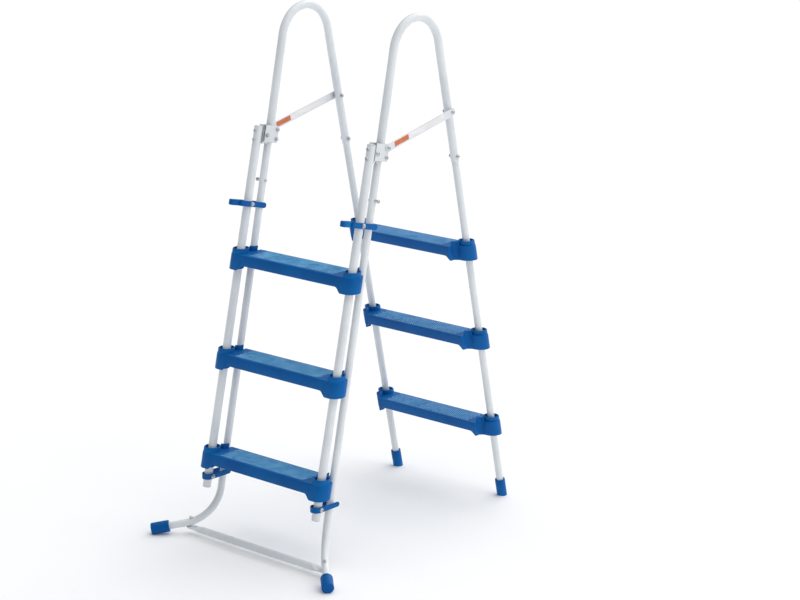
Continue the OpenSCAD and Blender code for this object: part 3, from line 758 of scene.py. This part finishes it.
def step(bm, place, half, tube_r):
    """One moulded step: skirt, deck, tube sleeves, notch lips and ribs."""
    outline = step_outline(half)
    outward = normals_of(outline, True)
    bottoms = [apron_bottom(q.x, half) for q in outline]
    turns = [math.radians(18 * k) for k in range(6)]
    edge = 2.2
    levels = [(STEP_WALL, None, -DECK_WALL)]
    levels += [(STEP_WALL, 0.8, None), (STEP_WALL - 0.3, 0.2, None), (STEP_WALL - 0.9, 0, None)]
    levels += [(0.9, 0, None), (0.3, 0.2, None), (0, 0.9, None)]
    levels += [(edge * (1 - math.cos(a)), None, edge * (math.sin(a) - 1)) for a in turns]
    rings = []
    for inset, above, level in levels:
        ring = []
        for q, n, low in zip(outline, outward, bottoms):
            p = q - n * inset
            ring.append(vert(bm, place, p.x, p.y, low + above if level is None else level))
        rings.append(ring)
    for a, b in zip(rings, rings[1:]):
        bridge(bm, a, b)
    holes = [[circle_ring(bm, place, s * half, tube_r + 1.5, h) for s in (-1, 1)] for h in (-DECK_WALL, 0)]
    for low, high in zip(*holes):
        bridge(bm, low, high)
    fill(bm, [rings[0], *holes[0]])
    fill(bm, [rings[-1], *holes[1]])
    for s in (-1, 1):
        sleeve(bm, place @ Matrix.Translation((s * half, 0, 0)), tube_r)
        notch_lip(bm, place, s, half)
    step_ribs(bm, place, half)


def circle_ring(bm, place, x, radius, height):
    return [vert(bm, place, x + q.x, q.y, height) for q in arc(0, 0, radius, 0, 360, ROUND)[:-1]]


def sleeve(bm, place, tube_r):
    """The sleeve round a tube: a cup that stands over the deck and a boss under it."""
    bore = tube_r + 0.15
    outline = [(bore, 0), (bore, 4, 0.5), (CUP_R, 4, 1.5), (CUP_R, COLLAR_H, 1.2), (COLLAR_R, COLLAR_H, 1.8),
               (COLLAR_R, -2.5), (BOSS_R, -2.5),
               (BOSS_R, -END_DROP + 0.5, 0.6), (bore, -END_DROP + 0.5, 0.6), (bore, -2)]
    lathe(bm, place, rounded(outline, 0, 4), closed=True)


def notch_lip(bm, place, s, half):
    """A quarter ring of wall that stands round a fixed leg's notch, merged into the deck."""
    cx, cy = half - NOTCH_IN + NOTCH_R, NOTCH_V + NOTCH_R
    mid = NOTCH_R + STEP_WALL / 2
    path = arc(cx, cy, mid, 172, 271, 16)
    flip = Matrix.Scale(s, 4, (1, 0, 0))
    low, high = -2, COLLAR_H
    raised = place @ flip @ lift_to((low + high) / 2)
    band(bm, raised, path, STEP_WALL, lambda q: (high - low) / 2, 1.2)


def lift_to(height):
    return Matrix.Translation((0, 0, height))


def step_ribs(bm, place, half):
    """Ribs under the deck, across and along."""
    for x in range(-150, 151, 50):
        middle = Vector((x, (TREAD_FRONT + TREAD_BACK) / 2))
        rib(bm, place, middle, Vector((1, 0)), Vector((0, (TREAD_BACK - TREAD_FRONT) / 2 - 2)))
    rib(bm, place, Vector((0, 19)), Vector((half - 30, 0)), Vector((0, 1)))


def rib(bm, place, middle, along_u, along_v):
    box_pad(bm, place, middle, along_u, along_v, -1, -APRON_DROP + 2, 0.995)


def tread_pads(place, name, step_piece):
    """Rows of low slanting pads: the tread's anti-slip pattern, in a field with plain ends."""
    bm = bmesh.new()
    low_v, high_v = TREAD_FRONT + 9, TREAD_BACK - 8
    lean = Vector((1, 1)).normalized()
    across = Vector((-lean.y, lean.x))
    rows = int((high_v - low_v) / PAD_GAP)
    row_gap = (high_v - low_v) / rows
    for row in range(rows):
        v = low_v + row_gap * (row + 0.5)
        u = -PAD_FIELD + (row % 2) * PAD_PITCH / 2
        while u < PAD_FIELD:
            box_pad(bm, place, Vector((u, v)), lean * (row_gap * 0.6), across * 1.2, -0.3, 0.9, 0.8)
            u += PAD_PITCH
    # The pads' pale material is painted sheen on the tread tops.
    loose_piece(bm, name + "_pads", step_piece, "sheen_painted_plastic")


def outer_steps():
    for name, z in TREAD_Z.items():
        place = level_step(0, z * math.tan(STEP_TILT), z, STEP_TILT, 1)
        whole_step("outer_step_" + name, "step_section", place, STEP_TUBE_X, RAIL_R)


def inner_steps():
    for name, z in TREAD_Z.items():
        place = level_step(0, INNER_Y0 - z * math.tan(LEG_TILT), z, LEG_TILT, -1)
        whole_step("inner_step_" + name, "fixed_frame", place, LEG_X, LEG_R)


def whole_step(node, body, place, half, tube_r):
    """A step between tubes that stand half its span from the middle, with its pads."""
    bm = bmesh.new()
    step(bm, place, half, tube_r)
    tread_pads(place, node, piece(bm, node, body, "blue_plastic", STEP_SHARP))


# ---- latches ----

# Middle of a latch from its tube's axis, and half the gap between its cheeks
LATCH_MID = (LATCH_IN_X + LATCH_OUT_X) / 2 - STEP_TUBE_X
LATCH_HALF = (LATCH_OUT_X - LATCH_IN_X) / 2
# Front face, cheek end and finger tab of an upper latch, from the tube's axis
UPPER_WEB, UPPER_NOSE_R, UPPER_BACK, TAB_REACH, TAB_HALF, TAB_EDGE = 42, 3, 53.5, 78, 9, 2.4
# The same for a lower latch, whose front is a half circle and whose ends are narrower
LOWER_WEB, LOWER_BACK, LOWER_BACK_R, LOWER_TURN = 17.5, 70, 7.5, math.radians(12)


def latch_band(bm, place, web, nose_r, back, back_r, taper=False):
    """A strap bent round the tube: a front with corners of nose_r, and two cheeks with round ends."""
    centre_v = nose_r - web
    reach = LATCH_HALF + LATCH_T / 2
    bend = nose_r + LATCH_T / 2
    straight = [centre_v + (back - centre_v) * k / 10 for k in range(10)]
    tail = [back + back_r * math.sin(math.radians(a)) for a in (0, 12, 24, 36, 48, 58, 67, 75, 82, 87, 89.4)]
    cheek = [Vector((reach, v)) for v in reversed(straight[1:] + tail)]
    front = arc(reach - bend, centre_v, bend, 0, -90, 14)
    front += [Vector((-q.x, q.y)) for q in reversed(front if bend < reach else front[:-1])]
    other = [Vector((-q.x, q.y)) for q in reversed(cheek)]

    def half_height(q):
        if q.y > back:
            return max(0.35, math.sqrt(max(0, back_r ** 2 - (q.y - back) ** 2)))
        if taper and q.y > 0:
            return LATCH_H / 2 + (back_r - LATCH_H / 2) * q.y / back
        return LATCH_H / 2

    shifted = place @ Matrix.Translation((LATCH_MID, 0, 0))
    band(bm, shifted, cheek + front + other, LATCH_T, half_height, 1.0)


def finger_tab(bm, place, web, tab):
    """The block in front of an upper latch: a rounded nose with grip lines."""
    shifted = place @ Matrix.Translation((LATCH_MID, 0, 0))
    top = LATCH_H / 2
    nose = arc(0, -tab + TAB_HALF, TAB_HALF, 180, 360, 24)
    root = [Vector((TAB_HALF, -web - 1)), Vector((-TAB_HALF, -web - 1))]
    plate(bm, shifted, nose + root, -top, top, TAB_EDGE)
    half_u, half_v = Vector((5.2, 0)), Vector((0, 0.9))
    for h in (-1, 1):
        for v in (-tab + 9, -tab + 14, -tab + 19):
            box_pad(bm, shifted, Vector((0, v)), half_u, half_v, h * (top - 0.4), h * (top + 0.5), 0.8)


def latches():
    for name, side in SIDES.items():
        bm = bmesh.new()
        place = on_step_tube(UPPER_LATCH_Z)
        latch_band(bm, place, UPPER_WEB, UPPER_NOSE_R, UPPER_BACK, LATCH_H / 2)
        finger_tab(bm, place, UPPER_WEB, TAB_REACH)
        finish_side(bm, side, "upper_latch_" + name, "upper_latch_" + name, "blue_plastic")
        bm = bmesh.new()
        place = on_step_tube(LOWER_LATCH_Z) @ Matrix.Rotation(LOWER_TURN, 4, "X")
        latch_band(bm, place, LOWER_WEB, LATCH_HALF, LOWER_BACK, LOWER_BACK_R, taper=True)
        finish_side(bm, side, "lower_latch_" + name, "lower_latch_" + name, "blue_plastic")


# ---- brackets, hooks and straps ----

def hook_brackets():
    """A channel of sheet round the back of each handrail's lower end."""
    middle = (BRACKET_LOW + BRACKET_HIGH) / 2
    half = (BRACKET_HIGH - middle) / math.cos(LEG_TILT)
    gap = LEG_SETBACK * math.cos(LEG_TILT) - middle * math.sin(STEP_TILT - LEG_TILT) / math.cos(STEP_TILT)
    reach = gap - RAIL_R - 1
    wall = BRACKET_HALF + SHEET / 2
    back = BRACKET_BACK + SHEET / 2
    outline = [(wall, -reach), (wall, back), (-wall, back), (-wall, -reach)]
    for name, side in SIDES.items():
        bm = bmesh.new()
        path = rounded(outline, 4, 8)
        band(bm, on_outer_leg(middle), path, SHEET, lambda q: half, 0.5)
        finish_side(bm, side, "hook_bracket_" + name, "fixed_frame", "white_paint")


def strap_line():
    """Start, length and rise of a spreader bar."""
    y0 = LEG_SETBACK + CLAMP_HIGH_Z * math.tan(LEG_TILT) + CLAMP_V * math.cos(LEG_TILT)
    y1 = INNER_Y0 - STRAP_INNER_Z * math.tan(LEG_TILT)
    run = Vector((y1 - y0, STRAP_INNER_Z - STRAP_OUTER_Z))
    place = at(STRAP_X, y0, STRAP_OUTER_Z) @ Matrix.Rotation(math.atan2(run.y, run.x), 4, "X")
    return place @ Matrix(((0, 0, 1, 0), (1, 0, 0, 0), (0, 1, 0, 0), (0, 0, 0, 1))), run.length


def spreader_bars():
    """Flat straps with round ends, each with a plain two-part label."""
    place, length = strap_line()
    w = STRAP_W / 2
    outline = arc(length, 0, w, -90, 90, 20) + arc(0, 0, w, 90, 270, 20)
    for name, side in SIDES.items():
        bm = bmesh.new()
        plate(bm, place, outline, 0, STRAP_T, 0.7)
        finish_side(bm, side, "spreader_bar_" + name, "fixed_frame", "white_paint")
        bm = bmesh.new()
        label_plates(bm, place, *(share * length for share in ORANGE_SPAN), 0.1)
        orange = finish_side(bm, side, "spreader_label_" + name, "fixed_frame", "orange_label")
        bm = bmesh.new()
        label_plates(bm, place, *(share * length for share in FILM_SPAN), 0.2)
        if side < 0:
            mirrored(bm)
        loose_piece(bm, "spreader_film_" + name, orange, "pale_film")


def label_plates(bm, place, start, end, thinner):
    """Two thin films, one on each face of the strap, with a margin that is wider below."""
    thick = LABEL_T - thinner
    middle = (start + end) / 2
    outline = rounded([(middle, LABEL_LOW), (end, LABEL_LOW), (end, LABEL_HIGH), (start, LABEL_HIGH),
                       (start, LABEL_LOW), (middle, LABEL_LOW)], 1.2, 4)
    for low in (-thick, STRAP_T):
        plate(bm, place, outline[:-1], low, low + thick, 0.12)


# ---- fasteners ----

def hexagon(across_corners, chamfer):
    """Radius of a hexagon at an angle, its corners cut back to a circle."""
    flat = across_corners * math.cos(math.pi / 6)

    def radius(a):
        turn = (a + math.pi / 6) % (math.pi / 3) - math.pi / 6
        return min(flat / math.cos(turn), chamfer)

    return radius


def bolt_head(bm, place, radius=HEAD_R, height=HEAD_H):
    """A domed head with a hexagon socket, standing on z = 0."""
    socket = hexagon(radius * 0.42, radius)
    outline = rounded([(radius * 0.5, 0), (radius, 0, 0.3), (radius, height * 0.35, 0.8),
                       (radius * 0.78, height * 0.86, 1.6), (radius * 0.48, height, 0.5)], 0.5, 4)
    lathe(bm, place, [(0, 0), *outline, (socket, height - 0.25), (socket, height * 0.45), (0, height * 0.38)])


def washer(bm, place, radius=WASHER_R, bore=BOLT_R + 0.05, height=WASHER_H):
    """A flat ring with its edges broken."""
    cut = 0.25
    profile = [(bore, cut), (bore, height - cut), (bore + cut, height), (radius - cut, height),
               (radius, height - cut), (radius, cut), (radius - cut, 0), (bore + cut, 0)]
    lathe(bm, place, profile, closed=True)


def nut(bm, place, radius=NUT_R, height=NUT_H):
    """A hexagon nut with chamfered corners and a locking collar."""
    flat = radius * math.cos(math.pi / 6)
    levels = [(flat * 0.97, 0), (flat * 1.05, 0.5), (radius * 1.1, 1.0), (radius * 1.1, height * 0.6),
              (flat * 1.04, height * 0.74), (flat * 0.94, height * 0.8)]
    profile = [(hexagon(radius, chamfer), z) for chamfer, z in levels]
    collar = rounded([(flat * 0.94, height * 0.8), (flat * 0.9, height, 0.6), (BOLT_R, height)], 0.6, 4)
    lathe(bm, place, [(0, 0), *profile, *collar[1:], (0, height)])


def shank(bm, place, low, high, radius=BOLT_R, pitch=1.0, threaded=0.0):
    """A bolt's shank; its last stretch carries thread ridges and a chamfered tip."""
    profile = [(0, low), (radius, low)]
    z = high - threaded
    profile.append((radius, z))
    while z < high - 1.2:
        profile += [(radius * 0.86, z + 0.5 * pitch), (radius, z + pitch)]
        z += pitch
    profile += [(radius * 0.8, high), (0, high)]
    lathe(bm, place, profile, segments=24)


def cross_bolt(bm, place, head_x, nut_x):
    """A bolt along X from its head outside to its nut inside, with both washers."""
    outward = place @ Matrix.Rotation(math.pi / 2, 4, "Y")
    inward = place @ Matrix.Rotation(-math.pi / 2, 4, "Y")
    bolt_head(bm, outward @ lift_to(head_x + WASHER_H))
    washer(bm, outward @ lift_to(head_x))
    washer(bm, inward @ lift_to(-nut_x))
    nut(bm, inward @ lift_to(-nut_x + WASHER_H))
    shank(bm, inward, -head_x, -nut_x + WASHER_H + NUT_H + 1.5, threaded=8)


def on_clamp(z):
    return on_outer_leg(z) @ Matrix.Translation((0, CLAMP_V, 0))


def hook_pin_place():
    y = (HOOK_BOLT_Z * math.tan(STEP_TILT) + LEG_SETBACK + HOOK_BOLT_Z * math.tan(LEG_TILT)) / 2
    return at(LEG_X, y, HOOK_BOLT_Z)


def bracket_bolts():
    """The brackets' lower clamp bolts and the pins that the hooks drop over."""
    bm = bmesh.new()
    for place in (on_clamp(CLAMP_LOW_Z), hook_pin_place()):
        cross_bolt(bm, place, BRACKET_OUT, -BRACKET_OUT)
    finish_pairs(bm, "bracket_bolts", "fixed_frame")


def spreader_bolts():
    """Bolts through both ends of each strap."""
    outer = STRAP_X - LEG_X + STRAP_T + 0.05
    bm = bmesh.new()
    cross_bolt(bm, on_clamp(CLAMP_HIGH_Z), outer, -BRACKET_OUT)
    cross_bolt(bm, on_inner_leg(STRAP_INNER_Z), outer, -RAIL_R)
    finish_pairs(bm, "spreader_bolts", "fixed_frame")


def spreader_spacers():
    """Sleeves between the handrails and the straps' inner ends."""
    bm = bmesh.new()
    turned = on_inner_leg(STRAP_INNER_Z) @ Matrix.Rotation(math.pi / 2, 4, "Y")
    washer(bm, turned @ lift_to(RAIL_R), 8, height=STRAP_X - LEG_X - RAIL_R - 0.05)
    finish_pairs(bm, "spreader_spacers", "fixed_frame")


def leg_joint_bolts():
    """Bolts through the inner junctions of handrail and leg."""
    bm = bmesh.new()
    cross_bolt(bm, on_inner_leg(JOINT_BOLT_Z), RAIL_R + 0.05, -RAIL_R - 0.05)
    finish_pairs(bm, "leg_joint_bolts", "fixed_frame")


def leg_stop_bolts():
    """Bolts above the upper latches, whose heads stand off on sleeves."""
    bm = bmesh.new()
    outward = on_outer_leg(STOP_BOLT_Z) @ Matrix.Rotation(math.pi / 2, 4, "Y")
    inward = on_outer_leg(STOP_BOLT_Z) @ Matrix.Rotation(-math.pi / 2, 4, "Y")
    washer(bm, outward @ lift_to(LEG_R + 0.1), HEAD_R - 1.5, height=STOP_REACH - 4.1)
    bolt_head(bm, outward @ lift_to(LEG_R + STOP_REACH - 4), HEAD_R, 4)
    shank(bm, outward, -LEG_R - 1, LEG_R + STOP_REACH - 3.5)
    bolt_head(bm, inward @ lift_to(LEG_R + 0.1), HEAD_R - 1, 2.9)
    finish_pairs(bm, "leg_stop_bolts", "fixed_frame")


def base_bar_bolts():
    """Upright bolts through the feet and the bar's flat ends."""
    bm = bmesh.new()
    corner, _ = leg_corner()
    foot_bolt = at(*(corner + foot_direction() * BAR_BOLT_REACH))
    bolt_head(bm, foot_bolt @ lift_to(LEG_R + BAR_HEAD_GAP))
    down = foot_bolt @ Matrix.Rotation(math.pi, 4, "X")
    nut_top = BAR_DROP + BAR_FLAT_T + 0.1
    shank(bm, down, -LEG_R - BAR_HEAD_GAP - 0.5, nut_top + NUT_H + 1.5, threaded=5)
    nut(bm, down @ lift_to(nut_top))
    finish_pairs(bm, "base_bar_bolts", "fixed_frame")


def latch_pivot_bolts():
    bm = bmesh.new()
    inner, outer = STEP_TUBE_X - LATCH_IN_X + LATCH_T + 0.3, LATCH_OUT_X + LATCH_T + 0.3 - STEP_TUBE_X
    for z in (UPPER_LATCH_Z, LOWER_LATCH_Z):
        cross_bolt(bm, on_step_tube(z), outer, -inner)
    finish_pairs(bm, "latch_pivot_bolts", "step_section")


def hook_bolts():
    """Bolts that hold each hook to the back of its tube."""
    bm = bmesh.new()
    for z in HOOK_FIX_Z:
        front = on_step_tube(z) @ Matrix.Rotation(math.pi / 2, 4, "X")
        behind = front @ Matrix.Rotation(math.pi, 4, "X")
        bolt_head(bm, front @ lift_to(RAIL_R - 0.15))
        shank(bm, behind, -RAIL_R - 1, RAIL_R + SHEET + 4)
        nut(bm, behind @ lift_to(RAIL_R + SHEET + 0.2), 4.8, 3.6)
    finish_pairs(bm, "hook_bolts", "step_section")


def step_screws(node, body, on_tube):
    """Screws from the inner side through each step's bosses into the tubes."""
    bm = bmesh.new()
    for z in TREAD_Z.values():
        inward = on_tube(z) @ lift_to(-END_DROP / 2) @ Matrix.Rotation(-math.pi / 2, 4, "Y")
        bolt_head(bm, inward @ lift_to(BOSS_R), 4.5, 3.4)
        shank(bm, inward, 6, BOSS_R + 0.5, 2.4)
    finish_pairs(bm, node, body)


def finish_pairs(bm, node, body):
    """Zinc fasteners on both sides, as one piece."""
    both_sides(bm)
    piece(bm, node, body, "zinc", BOLT_SHARP)


def hooks():
    """The hooks are plain bent sheet, so the CAD nodes stay and take the zinc look."""
    for name in SIDES:
        node = frame["nodes"]["hook_" + name]
        node.data.materials.clear()
        node.data.materials.append(bpy.data.materials["zinc" + LOOK])


white_paint()
blue_plastic()
sheen_painted_plastic()
grey_plastic()
zinc()
orange_label()
pale_film()
floor_material()
camera()
floor()
studio()

handrails()
outer_legs()
inner_legs()
step_tubes()
base_bar()
outer_steps()
inner_steps()
latches()
hook_brackets()
spreader_bars()
bracket_bolts()
spreader_bolts()
spreader_spacers()
leg_joint_bolts()
leg_stop_bolts()
base_bar_bolts()
latch_pivot_bolts()
hook_bolts()
step_screws("outer_step_screws", "step_section", on_step_tube)
step_screws("inner_step_screws", "fixed_frame", on_inner_leg)
hooks()
